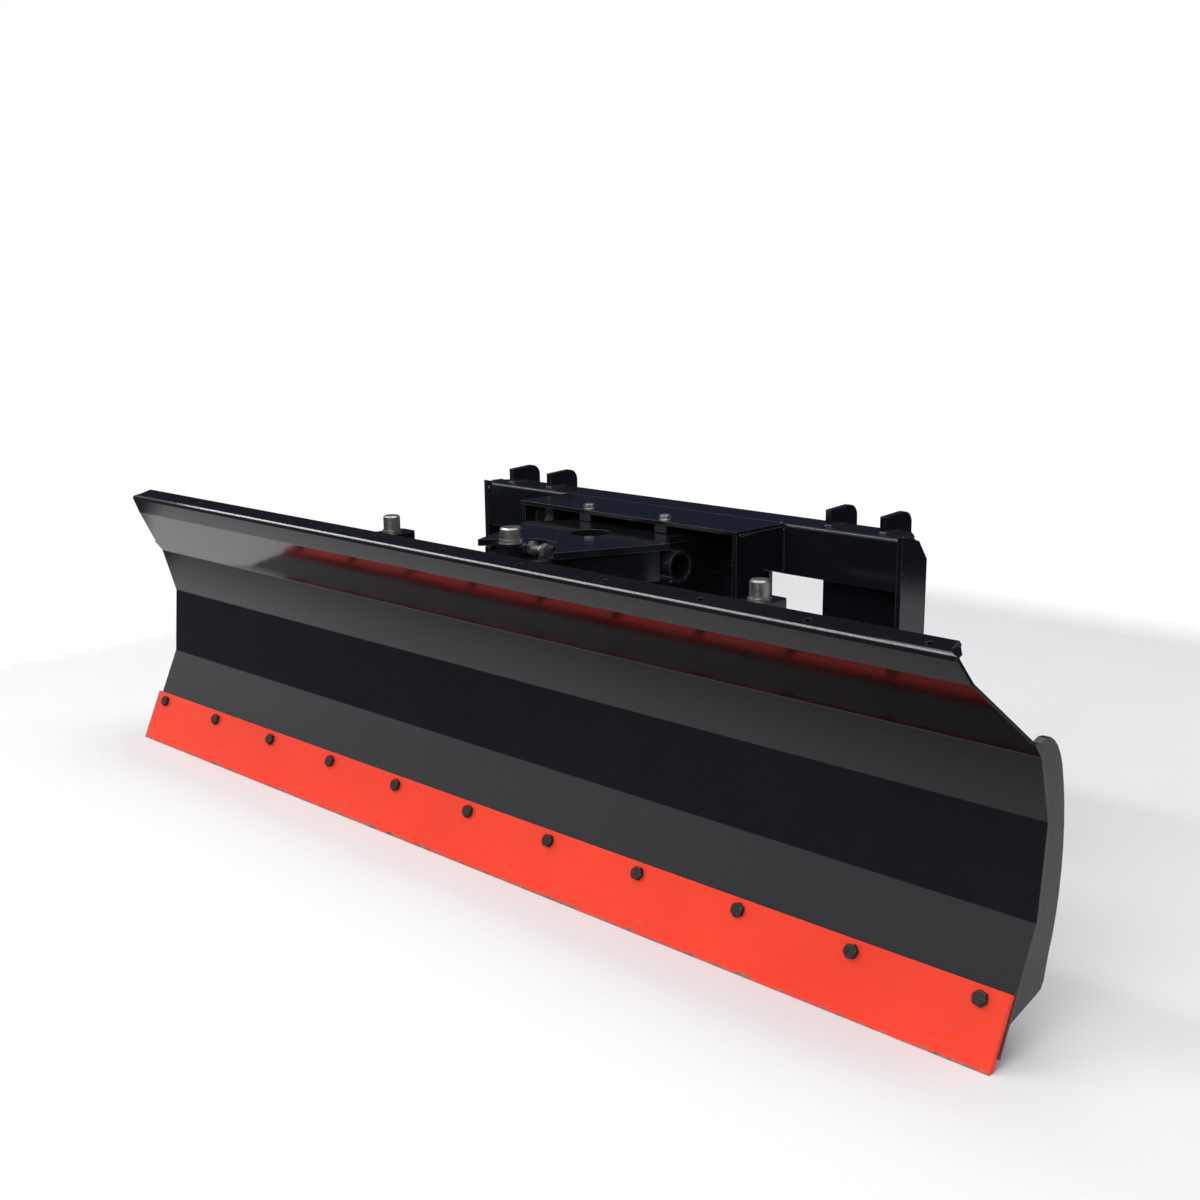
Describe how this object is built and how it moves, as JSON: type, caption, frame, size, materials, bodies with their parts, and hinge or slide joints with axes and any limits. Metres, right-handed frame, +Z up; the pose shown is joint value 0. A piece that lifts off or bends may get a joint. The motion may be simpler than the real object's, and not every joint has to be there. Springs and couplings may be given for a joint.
{
  "type": "atv plow blade",
  "caption": "Folded-steel snow plow blade with a bolted orange cutting edge, angled by two hydraulic cylinders about a vertical king pin on a quick-hitch frame.",
  "frame": {"origin": "On the ground under the middle of the bounding box, on the centre line.", "axes": "+X to the right of someone facing the blade's front, -Y the way the plow pushes, +Z up."},
  "size_m": [1.83, 0.5652, 0.502],
  "materials": {
    "board_paint": "glossy charcoal powder coat",
    "frame_paint": "glossy near-black powder coat",
    "edge_orange": "satin orange-red paint, lightly scuffed along the foot",
    "black_bolt": "black oxide, satin",
    "zinc": "clear zinc plate",
    "bronze": "sintered bronze",
    "rubber_black": "matte",
    "cylinder_paint": "gloss black enamel",
    "rod_chrome": "hard chrome, polished"
  },
  "bodies": {
    "hitch_frame": {"top_beam": "frame_paint", "side_plate_left": "frame_paint", "side_plate_right": "frame_paint", "leg_plates": "frame_paint", "lower_cross_tube": "frame_paint", "hook_plates": "frame_paint", "hang_bars": "frame_paint", "lock_lugs": "frame_paint", "box_back_plate": "frame_paint", "box_wall_left": "frame_paint", "box_wall_right": "frame_paint", "box_cover": "frame_paint", "cover_bolts": "zinc", "cover_nut_blocks": "frame_paint", "hose_grommet": "rubber_black", "push_top_plate": "frame_paint", "push_webs": "frame_paint", "push_rear_gussets": "frame_paint", "push_nose_plate": "frame_paint", "push_bottom_plate": "frame_paint", "push_post": "frame_paint", "cross_tube": "frame_paint", "barrel_lugs": "frame_paint", "barrel_pins": "zinc", "barrel_pin_clips": "zinc", "king_pin": "zinc", "king_collar": "frame_paint", "keeper_bolt": "zinc", "keeper_nut": "zinc", "king_pin_washer": "zinc", "king_pin_roll_pin": "zinc"},
    "blade": {"moldboard": "board_paint", "cutting_edge": "edge_orange", "edge_backing_bar": "board_paint", "edge_bolts": "black_bolt", "edge_washers": "black_bolt", "edge_nuts": "black_bolt", "end_plate_left": "board_paint", "end_plate_right": "board_paint", "moldboard_ribs": "board_paint", "stiffener_tubes": "board_paint", "hub_tube": "board_paint", "hub_side_plates": "board_paint", "hub_lug_upper": "board_paint", "hub_lug_lower": "board_paint", "hub_bushes": "bronze", "hub_grease_nipples": "zinc", "ear_bracket_left": "board_paint", "ear_bracket_right": "board_paint", "rod_pins": "zinc", "rod_pin_spacers": "board_paint", "rod_pin_washers": "zinc", "rod_pin_roll_pins": "zinc"},
    "barrel_body_left": {"barrel_left": "cylinder_paint", "gland_left": "cylinder_paint"},
    "barrel_body_right": {"barrel_right": "cylinder_paint", "gland_right": "cylinder_paint"},
    "rod_body_left": {"rod_left": "rod_chrome"},
    "rod_body_right": {"rod_right": "rod_chrome"}
  },
  "joints": [
    {"name": "blade_angle", "type": "hinge", "parent": "hitch_frame", "child": "blade", "pos_m": [0, -0.14144, 0.25], "axis": [0, 0, 1], "range_deg": [-20, 20]},
    {"name": "barrel_swing_right", "type": "hinge", "parent": "hitch_frame", "child": "barrel_body_right", "pos_m": [0.07, -0.05544, 0.33], "axis": [0, 0, 1], "range_deg": [-24.5, 24.5]},
    {"name": "barrel_swing_left", "type": "hinge", "parent": "hitch_frame", "child": "barrel_body_left", "pos_m": [-0.07, -0.05544, 0.33], "axis": [0, 0, 1], "range_deg": [-24.5, 24.5]},
    {"name": "rod_swing_right", "type": "hinge", "parent": "blade", "child": "rod_body_right", "pos_m": [0.402, -0.05544, 0.33], "axis": [0, 0, 1], "range_deg": [-4.5, 4.5]},
    {"name": "rod_swing_left", "type": "hinge", "parent": "blade", "child": "rod_body_left", "pos_m": [-0.402, -0.05544, 0.33], "axis": [0, 0, 1], "range_deg": [-4.5, 4.5]}
  ],
  "couplings": [
    {"joint": "barrel_swing_right", "follows": "blade_angle", "ratio": 1.205},
    {"joint": "barrel_swing_left", "follows": "blade_angle", "ratio": 1.205},
    {"joint": "rod_swing_right", "follows": "blade_angle", "ratio": 0.205},
    {"joint": "rod_swing_left", "follows": "blade_angle", "ratio": 0.205}
  ]
}
